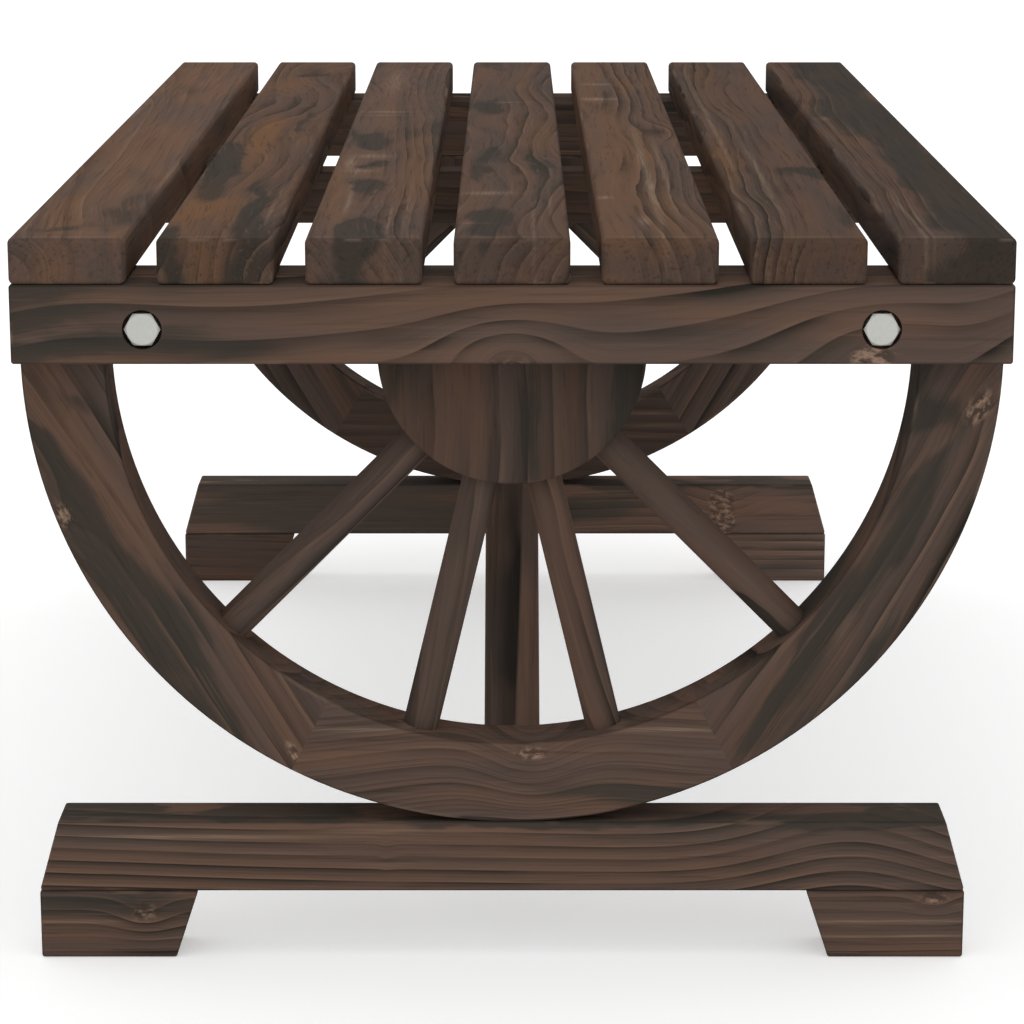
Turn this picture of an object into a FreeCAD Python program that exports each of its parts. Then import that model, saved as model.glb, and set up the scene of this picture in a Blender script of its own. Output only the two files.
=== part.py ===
import FreeCAD, Part
import os
import Sketcher

# Slatted coffee table that stands on two half cartwheels. Millimetres, +Z up.
# The origin is on the floor under the table's middle. The slats run along Y, and the front end is at -Y.
# Left is -X and right is +X, as seen from the front end.

SIZES = (
    ("table_length", 900, "length of the slats, from end face to end face"),
    ("table_width", 500, "width across all slats, and length of each rail"),
    ("slat_count", 7, "number of slats"),
    ("slat_width", 58, "width of one slat"),
    ("slat_thickness", 23.5, "thickness of one slat"),
    ("slat_rounding", 3, "radius on every edge of a slat"),
    ("rail_depth", 32, "thickness of the outer end rail"),
    ("rail_height", 40, "height of the end rail and of the wheel bar behind it"),
    ("board_rounding", 1.5, "radius on the edges of rails, feet, batten and struts"),
    ("wheel_radius", 250, "outer radius of the half wheel"),
    ("wheel_thickness", 33, "thickness of rim, hub and wheel bar"),
    ("rim_width", 43, "rim, from its outer to its inner edge"),
    ("outer_lap_angle", 27.5, "rim joint on the outward face, from straight down"),
    ("inner_lap_angle", 32.4, "rim joint on the inward face, from straight down"),
    ("rim_rounding", 1, "radius on the long edges of the rim"),
    ("hub_radius", 68.5, "radius of the half round hub"),
    ("spoke_diameter", 18.5, "diameter of a spoke"),
    ("inner_spoke_angle", 13.4, "the two middle spokes, from straight down"),
    ("outer_spoke_angle", 44.8, "the two outer spokes, from straight down"),
    ("hub_socket_depth", 20, "how deep a spoke stands in the hub"),
    ("rim_socket_depth", 16, "how deep a spoke stands in the rim"),
    ("socket_clearance", 0.15, "gap round a spoke in its sockets"),
    ("beam_length", 488, "foot beam along its underside"),
    ("beam_height", 38.5, "height of the foot beam"),
    ("beam_depth", 33, "thickness of the foot beam and its blocks"),
    ("beam_end_run", 10.9, "how far each beam end leans in over the beam's height"),
    ("foot_shift", 5.2, "how far the feet stand to the left of the wheel"),
    ("block_length", 83.6, "foot block along its top"),
    ("block_height", 37, "height of a foot block"),
    ("block_end_run", 12.2, "how far the block's inner end leans out over its height"),
    ("batten_inset", 8, "batten's ends from the outer edges of the slats"),
    ("batten_width", 32, "width of the batten"),
    ("batten_height", 32, "height of the batten"),
    ("strut_width", 30, "width of a slanting strut"),
    ("bolt_diameter", 10, "shank of the bolts that hold each wheel to its rail"),
    ("bolt_head_width", 16, "bolt head across its flats"),
    ("bolt_head_height", 6.4, "height of the bolt head"),
    ("bolt_crown_diameter", 15.2, "flat circle on the bevelled face of a head or nut"),
    ("bolt_recess_depth", 7, "depth of the round recess for the head"),
    ("bolt_recess_diameter", 20, "diameter of that recess"),
    ("bolt_rise", 17.5, "bolt above the underside of the rail"),
    ("bolt_tail", 1.6, "shank that stands out of the nut"),
    ("bolt_clearance", 0.25, "gap round a bolt shank"),
    ("washer_diameter", 20, "diameter of a washer"),
    ("washer_thickness", 2, "thickness of a washer"),
    ("nut_width", 16, "nut across its flats"),
    ("nut_height", 8.4, "height of a nut"),
    ("screw_diameter", 4.5, "shank of the wood screws"),
    ("screw_head_diameter", 9, "head of the wood screws"),
    ("screw_head_height", 3.5, "height of that head"),
    ("screw_point_length", 5, "tapered end of the wood screws"),
    ("screw_clearance", 0.25, "gap round a screw and its head"),
    ("short_screw_length", 40, "screws of the slats and struts, with head"),
    ("long_screw_length", 60, "screws of the feet and rims, with head"),
    ("slat_screw_bite", 18, "how far a screw goes into a slat"),
    ("foot_screw_bite", 28, "how far a screw goes into the beam or the rim"),
    ("strut_screw_bite", 24, "how far a screw goes into the beam or the batten"),
    ("rim_screw_spread", 50, "between the two screws under a rim"),
    ("dowel_diameter", 8, "diameter of the dowels"),
    ("bar_dowel_length", 32, "upright dowels between bar, rim and hub"),
    ("bolt_dowel_web", 2, "wood between a bolt's bore and the upright dowels below it"),
    ("lap_dowel_length", 20, "dowels through the rim's lap joints"),
    ("hub_dowel_spread", 60, "between the two dowels of a hub"),
    ("dowel_clearance", 0.15, "gap round a dowel"),
)

# Places of the two screws of a foot block, as shares of its length on the floor, from its outer end
BLOCK_SCREW_SHARES = (0.25, 0.7)

# The front end faces -Y. The rear end is the same assembly turned round half a turn.
ENDS = {"front": 1, "rear": -1}
SIDES = {"left": -1, "right": 1}
HALF_TURN = 180
SPOKE_ANGLES = {
    "outer_left": "(-Sizes.outer_spoke_angle)",
    "inner_left": "(-Sizes.inner_spoke_angle)",
    "inner_right": "Sizes.inner_spoke_angle",
    "outer_right": "Sizes.outer_spoke_angle",
}

# Levels above the floor
BEAM_BASE = "Sizes.block_height"
BEAM_TOP = f"({BEAM_BASE} + Sizes.beam_height)"
WHEEL_CENTRE = f"({BEAM_TOP} + Sizes.wheel_radius)"
RAIL_TOP = f"({WHEEL_CENTRE} + Sizes.rail_height)"

# Depths behind an end's outward face
WHEEL_FACE = "Sizes.rail_depth"
WHEEL_BACK = "(Sizes.rail_depth + Sizes.wheel_thickness)"
BEAM_BACK = "(Sizes.rail_depth + Sizes.beam_depth)"
BATTEN_FACE = "((Sizes.table_length - Sizes.batten_width) / 2)"

# Rim
RIM_INNER = "(Sizes.wheel_radius - Sizes.rim_width)"
RIM_MIDDLE = "(Sizes.wheel_radius - Sizes.rim_width / 2)"
LAP_DEPTH = "(Sizes.wheel_thickness / 2)"
LAP_MIDDLE_ANGLE = "((Sizes.outer_lap_angle + Sizes.inner_lap_angle) / 2)"

# Spokes, measured out from the wheel's centre
SPOKE_START = "(Sizes.hub_radius - Sizes.hub_socket_depth)"
SPOKE_END = f"({RIM_INNER} + Sizes.rim_socket_depth)"
SPOKE_LENGTH = f"({SPOKE_END} - {SPOKE_START})"
SOCKET_RADIUS = "(Sizes.spoke_diameter / 2 + Sizes.socket_clearance)"

# Struts, whose upright ends are as high as the batten
STRUT_LOW = f"({BEAM_BASE} + Sizes.beam_height / 2)"
STRUT_HIGH = f"({RAIL_TOP} - Sizes.batten_height / 2)"
STRUT_HALF_END = "(Sizes.batten_height / 2)"
STRUT_SCREW_GRIP = "(Sizes.short_screw_length - Sizes.strut_screw_bite)"
STRUT_SCREW_X = "(-Sizes.strut_width / 4)"

# Fasteners
SCREW_BORE = "(Sizes.screw_diameter + 2 * Sizes.screw_clearance)"
SCREW_SINK = "(Sizes.screw_head_diameter + 2 * Sizes.screw_clearance)"
BOLT_BORE = "(Sizes.bolt_diameter + 2 * Sizes.bolt_clearance)"
BOLT_X = "((0.5 - 0.5 / (Sizes.slat_count - 1)) * (Sizes.table_width - Sizes.slat_width))"
BOLT_SEAT = "Sizes.bolt_recess_depth"
BOLT_GRIP = f"({WHEEL_BACK} - {BOLT_SEAT})"
BOLT_LENGTH = f"({BOLT_GRIP} + Sizes.washer_thickness + Sizes.nut_height + Sizes.bolt_tail)"
DOWEL_BORE = "(Sizes.dowel_diameter + 2 * Sizes.dowel_clearance)"
BAR_DOWEL_RISE = f"(Sizes.bolt_rise - {BOLT_BORE} / 2 - Sizes.bolt_dowel_web)"
BAR_DOWEL_DROP = f"(Sizes.bar_dowel_length - {BAR_DOWEL_RISE})"
RAIL_SCREW_START = "(Sizes.rail_height + Sizes.slat_screw_bite - Sizes.short_screw_length)"
BATTEN_SCREW_START = "(Sizes.batten_height + Sizes.slat_screw_bite - Sizes.short_screw_length)"
BLOCK_SCREW_START = "(Sizes.block_height + Sizes.foot_screw_bite - Sizes.long_screw_length)"
BEAM_SCREW_START = "(Sizes.beam_height + Sizes.foot_screw_bite - Sizes.long_screw_length)"

doc = FreeCAD.newDocument("coffee_table")
pieces = []


def fill_sheet():
    """Put each driving size in a row of the sheet, with its alias and what it measures."""
    sheet = doc.addObject("Spreadsheet::Sheet", "Sizes")
    for row, (alias, value, meaning) in enumerate(SIZES, start=1):
        sheet.set(f"A{row}", meaning)
        sheet.set(f"B{row}", str(value))
        sheet.setAlias(f"B{row}", alias)
    doc.recompute()
    return sheet


def size(formula):
    """The value of a formula of the sheet's sizes."""
    return float(sizes.evalExpression(formula))


def keep(piece):
    """Count a finished piece among those that are written out."""
    pieces.append(piece)
    return piece


def place(piece, x="0", y="0", z="0", axis=(0, 0, 1), turn="0"):
    """Put a piece at a place given by formulas, turned about one axis through its origin."""
    angle = size(turn)
    piece.Placement = FreeCAD.Placement(FreeCAD.Vector(), FreeCAD.Rotation(FreeCAD.Vector(*axis), angle))
    for letter, formula in zip("xyz", (x, y, z)):
        piece.setExpression(f"Placement.Base.{letter}", formula)
    if angle:
        piece.setExpression("Placement.Rotation.Angle", turn)


def end_y(facing, depth):
    """The Y of a depth behind the outward face of an end."""
    return f"({-facing} * (Sizes.table_length / 2 - {depth}))"


def place_at_end(piece, facing, depth, height):
    """Put a piece at an end of the table, with its own +Y pointing at the table's middle."""
    turn = "0" if facing > 0 else str(HALF_TURN)
    place(piece, y=end_y(facing, depth), z=height, turn=turn)


def new_body(label):
    return doc.addObject("PartDesign::Body", label)


def origin_feature(body, role):
    return next(feature for feature in body.Origin.OriginFeatures if feature.Role == role)


def new_sketch(body, name, role, offset="0"):
    """A sketch on one of the body's own planes, moved along that plane's normal."""
    sketch = body.newObject("Sketcher::SketchObject", name)
    sketch.AttachmentSupport = (origin_feature(body, role), [""])
    sketch.MapMode = "FlatFace"
    sketch.setExpression("AttachmentOffset.Base.z", offset)
    return sketch


def bind(sketch, kind, position, formula):
    """Add one dimension to a sketch and tie it to a formula."""
    index = sketch.addConstraint(Sketcher.Constraint(kind, *position, size(formula)))
    name = f"{kind}_{index}"
    sketch.renameConstraint(index, name)
    sketch.setExpression(f"Constraints.{name}", formula)


def polygon(body, name, role, corners, offset="0"):
    """A closed outline of straight lines through corners given as pairs of formulas."""
    sketch = new_sketch(body, name, role, offset)
    points = [FreeCAD.Vector(size(x), size(y), 0) for x, y in corners]
    count = len(points)
    for index in range(count):
        sketch.addGeometry(Part.LineSegment(points[index], points[(index + 1) % count]))
    for index in range(count):
        sketch.addConstraint(Sketcher.Constraint("Coincident", index, 2, (index + 1) % count, 1))
    for index, (x, y) in enumerate(corners):
        bind(sketch, "DistanceX", (index, 1), x)
        bind(sketch, "DistanceY", (index, 1), y)
    return sketch


def rectangle(body, name, role, x_range, y_range):
    """A rectangle between two formulas each way."""
    (x0, x1), (y0, y1) = x_range, y_range
    return polygon(body, name, role, ((x0, y0), (x1, y0), (x1, y1), (x0, y1)))


def circles(body, name, role, centres, diameter, offset="0"):
    """Equal circles at centres given as pairs of formulas."""
    sketch = new_sketch(body, name, role, offset)
    for index, (x, y) in enumerate(centres):
        centre = FreeCAD.Vector(size(x), size(y), 0)
        sketch.addGeometry(Part.Circle(centre, FreeCAD.Vector(0, 0, 1), size(diameter) / 2))
        bind(sketch, "DistanceX", (index, 3), x)
        bind(sketch, "DistanceY", (index, 3), y)
        bind(sketch, "Diameter", (index,), diameter)
    return sketch


def pad(body, sketch, length, forward=True):
    """Thicken a sketch. On an upright sketch, forward is towards the body's +Y."""
    feature = body.newObject("PartDesign::Pad", "Pad")
    feature.Profile = sketch
    feature.setExpression("Length", length)
    feature.Reversed = forward
    return feature


def drill(body, sketch, length=None, backward=False):
    """Cut a sketch's circles to a depth, or through all."""
    before = body.Shape.Volume
    pocket = body.newObject("PartDesign::Pocket", "Pocket")
    pocket.Profile = sketch
    if length is None:
        pocket.Type = "ThroughAll"
    else:
        pocket.setExpression("Length", length)
    pocket.Reversed = backward
    doc.recompute()
    if not body.Shape.Volume < before:
        raise RuntimeError(f"{body.Label}: {sketch.Name} cuts nothing")
    return pocket


def revolve(body, sketch, angle, backward=False, both_ways=False):
    """Turn a section about the wheel's axis, which is the body's Y axis."""
    feature = body.newObject("PartDesign::Revolution", "Revolution")
    feature.Profile = sketch
    feature.ReferenceAxis = (origin_feature(body, "Y_Axis"), [""])
    feature.setExpression("Angle", angle)
    feature.Midplane = both_ways
    feature.Reversed = backward
    return feature


def round_edges(body, radius, wanted=None):
    """Round a body's wanted edges, or all of them."""
    doc.recompute()
    base = body.Tip
    names = []
    for index, edge in enumerate(base.Shape.Edges, start=1):
        if wanted is None or wanted(edge):
            names.append(f"Edge{index}")
    fillet = body.newObject("PartDesign::Fillet", "Fillet")
    fillet.Base = (base, names)
    fillet.setExpression("Radius", radius)
    doc.recompute()
    return fillet


def block_body(label, outline, depth):
    """A board cut to an outline in the XZ plane and thickened towards +Y, with rounded edges."""
    body = new_body(label)
    sketch = polygon(body, "Outline", "XZ_Plane", outline)
    pad(body, sketch, depth)
    round_edges(body, "Sizes.board_rounding")
    return body


def upright_screw_bores(body, places, start, pilot_depth=None):
    """Bores from below for wood screws: a wide sink for the head, then the shank's bore."""
    sink = circles(body, "ScrewSinks", "XY_Plane", places, SCREW_SINK)
    drill(body, sink, f"({start} + Sizes.screw_head_height)", backward=True)
    bore = circles(body, "ScrewBores", "XY_Plane", places, SCREW_BORE)
    drill(body, bore, pilot_depth, backward=True)


def slat_x(index):
    """The X of the middle of a slat, counted from the left."""
    return f"(({index} / (Sizes.slat_count - 1) - 0.5) * (Sizes.table_width - Sizes.slat_width))"


def slat_numbers():
    return range(int(size("Sizes.slat_count")))


def make_slats():
    """Slats with rounded edges and blind pilot holes for the screws from below."""
    half_width = "Sizes.slat_width / 2"
    half_length = "Sizes.table_length / 2"
    rail_y = f"({half_length} - Sizes.rail_depth / 2)"
    for index in slat_numbers():
        body = new_body(f"slat_{index + 1}")
        outline = rectangle(
            body, "Outline", "XY_Plane",
            (f"-{half_width}", half_width), (f"-{half_length}", half_length),
        )
        pad(body, outline, "Sizes.slat_thickness", forward=False)
        round_edges(body, "Sizes.slat_rounding")
        pilots = (("0", f"-{rail_y}"), ("0", "0"), ("0", rail_y))
        holes = circles(body, "Pilots", "XY_Plane", pilots, SCREW_BORE)
        drill(body, holes, "(Sizes.slat_screw_bite + Sizes.screw_clearance)", backward=True)
        place(body, x=slat_x(index), z=RAIL_TOP)
        keep(body)


def make_rail(end, facing):
    """Outer end rail, with recessed bolt bores through it and sunk screw bores up into the slats."""
    half = "Sizes.table_width / 2"
    outline = ((f"-{half}", "0"), (half, "0"), (half, "Sizes.rail_height"), (f"-{half}", "Sizes.rail_height"))
    body = block_body(f"{end}_rail", outline, "Sizes.rail_depth")
    bolts = ((f"-{BOLT_X}", "Sizes.bolt_rise"), (BOLT_X, "Sizes.bolt_rise"))
    drill(body, circles(body, "BoltRecesses", "XZ_Plane", bolts, "Sizes.bolt_recess_diameter"), BOLT_SEAT)
    drill(body, circles(body, "BoltBores", "XZ_Plane", bolts, BOLT_BORE))
    places = [(slat_x(index), "Sizes.rail_depth / 2") for index in slat_numbers()]
    upright_screw_bores(body, places, RAIL_SCREW_START)
    place_at_end(body, facing, "0", WHEEL_CENTRE)
    keep(body)


def bar_dowel_places():
    """The X of each upright dowel: two in the rim's ends and two in the hub."""
    spread = "(Sizes.hub_dowel_spread / 2)"
    return (f"-{RIM_MIDDLE}", f"-{spread}", spread, RIM_MIDDLE)


def dowel_bores(body, places, depth, backward):
    """Upright dowel bores in the middle of the wheel's thickness."""
    centres = [(x, LAP_DEPTH) for x in places]
    sketch = circles(body, "DowelBores", "XY_Plane", centres, DOWEL_BORE)
    drill(body, sketch, depth, backward)


def make_wheel_bar(end, facing):
    """Bar that closes the half wheel along its diameter, bolted to the rail."""
    half = "Sizes.table_width / 2"
    outline = ((f"-{half}", "0"), (half, "0"), (half, "Sizes.rail_height"), (f"-{half}", "Sizes.rail_height"))
    body = block_body(f"{end}_wheel_bar", outline, "Sizes.wheel_thickness")
    bolts = ((f"-{BOLT_X}", "Sizes.bolt_rise"), (BOLT_X, "Sizes.bolt_rise"))
    drill(body, circles(body, "BoltBores", "XZ_Plane", bolts, BOLT_BORE))
    dowel_bores(body, bar_dowel_places(), BAR_DOWEL_RISE, backward=True)
    place_at_end(body, facing, WHEEL_FACE, WHEEL_CENTRE)
    keep(body)


def is_rim_edge(edge):
    """Whether an edge is a long arc of the rim, on its outward or inward face."""
    if not isinstance(edge.Curve, Part.Circle):
        return False
    depth = edge.Curve.Center.y
    return min(abs(depth), abs(depth - size("Sizes.wheel_thickness"))) < Part.Precision.approximation()


def spoke_socket(body, angle):
    """Cut a spoke's socket, whose axis leaves the wheel's centre at an angle from straight down."""
    socket = body.newObject("PartDesign::SubtractiveCylinder", "Socket")
    socket.setExpression("Radius", SOCKET_RADIUS)
    socket.setExpression("Height", SPOKE_LENGTH)
    place(
        socket, x=f"{SPOKE_START} * sin({angle})", y=LAP_DEPTH, z=f"-{SPOKE_START} * cos({angle})",
        axis=(0, 1, 0), turn=f"({HALF_TURN} - {angle})",
    )
    doc.recompute()


def lap_dowel_bores(body, sides, outward):
    """Bores for the dowels of the half laps, from the plane where the two layers meet."""
    places = []
    for side in sides:
        x = f"({side} * {RIM_MIDDLE} * sin({LAP_MIDDLE_ANGLE}))"
        places.append((x, f"(-{RIM_MIDDLE} * cos({LAP_MIDDLE_ANGLE}))"))
    sketch = circles(body, "LapDowelBores", "XZ_Plane", places, DOWEL_BORE, offset=f"-{LAP_DEPTH}")
    drill(body, sketch, "(Sizes.lap_dowel_length / 2)", backward=outward)


def rim_layers(body, role, sections, outer_angle, inner_angle, **way):
    """The two layers of a rim segment. The inward layer ends further up, or further down, for a half lap."""
    layers = (("Outward", "0", LAP_DEPTH, outer_angle), ("Inward", LAP_DEPTH, "Sizes.wheel_thickness", inner_angle))
    for name, near, far, angle in layers:
        revolve(body, rectangle(body, name, role, *sections(near, far)), angle, **way)
    round_edges(body, "Sizes.rim_rounding", is_rim_edge)


def make_rim_bottom(end, facing):
    """Bottom rim segment, equally long to both sides, with sockets for the two middle spokes."""
    body = new_body(f"{end}_rim_bottom")
    rim_layers(
        body, "YZ_Plane",
        lambda near, far: ((near, far), ("-Sizes.wheel_radius", f"-{RIM_INNER}")),
        "2 * Sizes.outer_lap_angle", "2 * Sizes.inner_lap_angle", both_ways=True,
    )
    lap_dowel_bores(body, SIDES.values(), outward=False)
    for side in SIDES.values():
        spoke_socket(body, f"({side} * Sizes.inner_spoke_angle)")
    half = "(Sizes.rim_screw_spread / 2)"
    places = [(f"({side} * {half})", LAP_DEPTH) for side in SIDES.values()]
    pilots = circles(body, "ScrewPilots", "XY_Plane", places, SCREW_BORE, offset="-Sizes.wheel_radius")
    drill(body, pilots, "(Sizes.foot_screw_bite + Sizes.screw_clearance)", backward=True)
    place_at_end(body, facing, WHEEL_FACE, WHEEL_CENTRE)
    keep(body)


def make_rim_side(end, facing, name, side):
    """Side rim segment, from the lap joint up to the bar, with a socket for the outer spoke."""
    body = new_body(f"{end}_rim_{name}")
    local = side * facing
    rim_layers(
        body, "XY_Plane",
        lambda near, far: ((f"{local} * {RIM_INNER}", f"{local} * Sizes.wheel_radius"), (near, far)),
        "90 - Sizes.outer_lap_angle", "90 - Sizes.inner_lap_angle", backward=local < 0,
    )
    lap_dowel_bores(body, (local,), outward=True)
    dowel_bores(body, (f"{local} * {RIM_MIDDLE}",), BAR_DOWEL_DROP, backward=False)
    spoke_socket(body, f"({local} * Sizes.outer_spoke_angle)")
    place_at_end(body, facing, WHEEL_FACE, WHEEL_CENTRE)
    keep(body)


def make_hub(end, facing):
    """Half round hub under the bar, with a socket for each spoke."""
    body = new_body(f"{end}_hub")
    section = rectangle(body, "Section", "XY_Plane", ("0", "Sizes.hub_radius"), ("0", "Sizes.wheel_thickness"))
    revolve(body, section, str(HALF_TURN))
    round_edges(body, "Sizes.rim_rounding", is_rim_edge)
    dowel_bores(body, bar_dowel_places()[1:3], BAR_DOWEL_DROP, backward=False)
    for angle in SPOKE_ANGLES.values():
        spoke_socket(body, angle)
    place_at_end(body, facing, WHEEL_FACE, WHEEL_CENTRE)
    keep(body)


def make_spokes(end, facing):
    """Round spokes in the middle of the wheel's thickness."""
    for name, angle in SPOKE_ANGLES.items():
        spoke = doc.addObject("Part::Cylinder", f"{end}_spoke_{name}")
        spoke.setExpression("Radius", "Sizes.spoke_diameter / 2")
        spoke.setExpression("Height", SPOKE_LENGTH)
        place(
            spoke, x=f"{SPOKE_START} * sin({angle})",
            y=end_y(facing, f"({WHEEL_FACE} + {LAP_DEPTH})"),
            z=f"{WHEEL_CENTRE} - {SPOKE_START} * cos({angle})",
            axis=(0, 1, 0), turn=f"({HALF_TURN} - {angle})",
        )
        keep(spoke)


def foot_x(facing, side=0):
    """The X of the foot's middle, or of the lower corner at one side, in an end's own frame."""
    return f"({-facing} * Sizes.foot_shift + {side} * Sizes.beam_length / 2)"


def make_foot_beam(end, facing):
    """Foot beam with leaning ends, sunk screw bores up into the rim and a pilot hole for the strut."""
    corners = []
    for side, run, height in ((-1, 0, "0"), (1, 0, "0"), (1, 1, "Sizes.beam_height"), (-1, 1, "Sizes.beam_height")):
        corners.append((f"{foot_x(facing, side)} - {side * run} * Sizes.beam_end_run", height))
    body = block_body(f"{end}_foot_beam", corners, "Sizes.beam_depth")
    half = "(Sizes.rim_screw_spread / 2)"
    rim_screws = [(f"({side} * {half})", LAP_DEPTH) for side in SIDES.values()]
    upright_screw_bores(body, rim_screws, BEAM_SCREW_START)
    block_screws = [(x, "Sizes.beam_depth / 2") for side in SIDES.values() for x in block_screw_x(facing, side)]
    pilots = circles(body, "BlockPilots", "XY_Plane", block_screws, SCREW_BORE)
    drill(body, pilots, "(Sizes.foot_screw_bite + Sizes.screw_clearance)", backward=True)
    strut_screw = ((STRUT_SCREW_X, "Sizes.beam_height / 2"),)
    pilot = circles(body, "StrutPilot", "XZ_Plane", strut_screw, SCREW_BORE, offset="-Sizes.beam_depth")
    drill(body, pilot, "(Sizes.strut_screw_bite + Sizes.screw_clearance)", backward=True)
    place_at_end(body, facing, WHEEL_FACE, BEAM_BASE)
    keep(body)


def block_screw_x(facing, side):
    """The X of a foot block's screws, in an end's own frame."""
    floor_length = "(Sizes.block_length - Sizes.block_end_run)"
    return [f"({foot_x(facing, side)} - {side} * {share} * {floor_length})" for share in BLOCK_SCREW_SHARES]


def make_foot_block(end, facing, name, side):
    """Foot block, upright at the beam's end and leaning at its inner end."""
    local = side * facing
    outer = foot_x(facing, local)
    corners = (
        (outer, "0"),
        (f"{outer} - {local} * (Sizes.block_length - Sizes.block_end_run)", "0"),
        (f"{outer} - {local} * Sizes.block_length", "Sizes.block_height"),
        (outer, "Sizes.block_height"),
    )
    body = block_body(f"{end}_foot_block_{name}", corners, "Sizes.beam_depth")
    places = [(x, "Sizes.beam_depth / 2") for x in block_screw_x(facing, local)]
    upright_screw_bores(body, places, BLOCK_SCREW_START)
    place_at_end(body, facing, WHEEL_FACE, "0")
    keep(body)


def make_batten():
    """Batten under the middle of the slats, with pilot holes for the struts in both faces."""
    half = "(Sizes.table_width / 2 - Sizes.batten_inset)"
    outline = ((f"-{half}", "0"), (half, "0"), (half, "Sizes.batten_height"), (f"-{half}", "Sizes.batten_height"))
    body = block_body("middle_batten", outline, "Sizes.batten_width")
    places = [(slat_x(index), "Sizes.batten_width / 2") for index in slat_numbers()]
    upright_screw_bores(body, places, BATTEN_SCREW_START)
    faces = ((STRUT_SCREW_X, "0", False), (f"-{STRUT_SCREW_X}", "-Sizes.batten_width", True))
    for x, offset, backward in faces:
        pilot = circles(body, "StrutPilot", "XZ_Plane", ((x, STRUT_HALF_END),), SCREW_BORE, offset)
        drill(body, pilot, "(Sizes.strut_screw_bite + Sizes.screw_clearance)", backward)
    place(body, y="-Sizes.batten_width / 2", z=f"({RAIL_TOP} - Sizes.batten_height)")
    keep(body)


def make_strut(end, facing):
    """Slanting strut from the foot beam's inward face to the batten's face, with upright ends."""
    body = new_body(f"{end}_strut")
    corners = (
        (BEAM_BACK, f"({STRUT_LOW} - {STRUT_HALF_END})"),
        (BATTEN_FACE, f"({STRUT_HIGH} - {STRUT_HALF_END})"),
        (BATTEN_FACE, f"({STRUT_HIGH} + {STRUT_HALF_END})"),
        (BEAM_BACK, f"({STRUT_LOW} + {STRUT_HALF_END})"),
    )
    side = polygon(body, "Side", "YZ_Plane", corners)
    pad(body, side, "Sizes.strut_width", forward=False).Midplane = True
    round_edges(body, "Sizes.board_rounding")
    head_seat = "(Sizes.screw_head_height)"
    ends = (
        (STRUT_LOW, f"({BEAM_BACK} + {STRUT_SCREW_GRIP})", head_seat, True),
        (STRUT_HIGH, f"({BATTEN_FACE} - {STRUT_SCREW_GRIP})", f"-{head_seat}", False),
    )
    for height, head_y, seat, towards_end in ends:
        centre = ((STRUT_SCREW_X, height),)
        sink = circles(body, "ScrewSink", "XZ_Plane", centre, SCREW_SINK, offset=f"-({head_y} - {seat})")
        drill(body, sink, backward=not towards_end)
        bore = circles(body, "ScrewBore", "XZ_Plane", centre, SCREW_BORE, offset=f"-{head_y}")
        drill(body, bore, backward=towards_end)
    place_at_end(body, facing, "0", "0")
    keep(body)


def hex_solid(name, width, height):
    """Hexagon with its corners bevelled at one end, standing on the XY plane."""
    prism = doc.addObject("Part::Prism", f"{name}Hexagon")
    prism.Polygon = 6
    prism.setExpression("Circumradius", f"{width} / 2 / cos(30)")
    prism.setExpression("Height", height)
    cone = doc.addObject("Part::Cone", f"{name}Bevel")
    crown = "(Sizes.bolt_crown_diameter / 2)"
    cone.setExpression("Radius1", f"{crown} + {height} / tan(30)")
    cone.setExpression("Radius2", crown)
    cone.setExpression("Height", height)
    hexagon = doc.addObject("Part::Common", f"{name}Shape")
    hexagon.Base = prism
    hexagon.Tool = cone
    return hexagon


def cylinder(name, diameter, height, z="0"):
    solid = doc.addObject("Part::Cylinder", name)
    solid.setExpression("Radius", f"{diameter} / 2")
    solid.setExpression("Height", height)
    solid.setExpression("Placement.Base.z", z)
    return solid


def bored(name, solid, diameter, height):
    """A solid with a round bore along its axis."""
    cut = doc.addObject("Part::Cut", name)
    cut.Base = solid
    cut.Tool = cylinder(f"{name}Bore", diameter, height)
    return cut


def group(label, pattern, places):
    """Copies of one fastener, kept together as a group of separate solids."""
    copies = []
    for index, where in enumerate(places, start=1):
        copy = doc.addObject("App::Link", f"{label}_copy_{index}")
        copy.LinkedObject = pattern
        place(copy, **where)
        copies.append(copy)
    compound = doc.addObject("Part::Compound", label)
    compound.Links = copies
    return keep(compound)


def bolt_places(depth):
    """Where the bolts, washers or nuts sit, at a depth behind each end's outward face."""
    places = []
    for facing in ENDS.values():
        for side in SIDES.values():
            places.append({
                "x": f"({side} * {BOLT_X})", "y": end_y(facing, depth),
                "z": f"({WHEEL_CENTRE} + Sizes.bolt_rise)", "axis": (1, 0, 0), "turn": str(facing * HALF_TURN / 2),
            })
    return places


def make_bolts():
    """Hexagon bolts with washers and nuts. Each pattern points out of the table along its own +Z."""
    head = hex_solid("BoltHead", "Sizes.bolt_head_width", "Sizes.bolt_head_height")
    shank = cylinder("BoltShank", "Sizes.bolt_diameter", BOLT_LENGTH, z=f"-{BOLT_LENGTH}")
    bolt = doc.addObject("Part::MultiFuse", "Bolt")
    bolt.Shapes = [head, shank]
    group("rail_bolts", bolt, bolt_places(BOLT_SEAT))
    plate = cylinder("WasherPlate", "Sizes.washer_diameter", "Sizes.washer_thickness")
    washer = bored("Washer", plate, BOLT_BORE, "Sizes.washer_thickness")
    group("rail_bolt_washers", washer, bolt_places(f"({WHEEL_BACK} + Sizes.washer_thickness)"))
    nut = bored("Nut", hex_solid("Nut", "Sizes.nut_width", "Sizes.nut_height"), BOLT_BORE, "Sizes.nut_height")
    nut_seat = f"({WHEEL_BACK} + Sizes.washer_thickness + Sizes.nut_height)"
    group("rail_bolt_nuts", nut, bolt_places(nut_seat))


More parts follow.
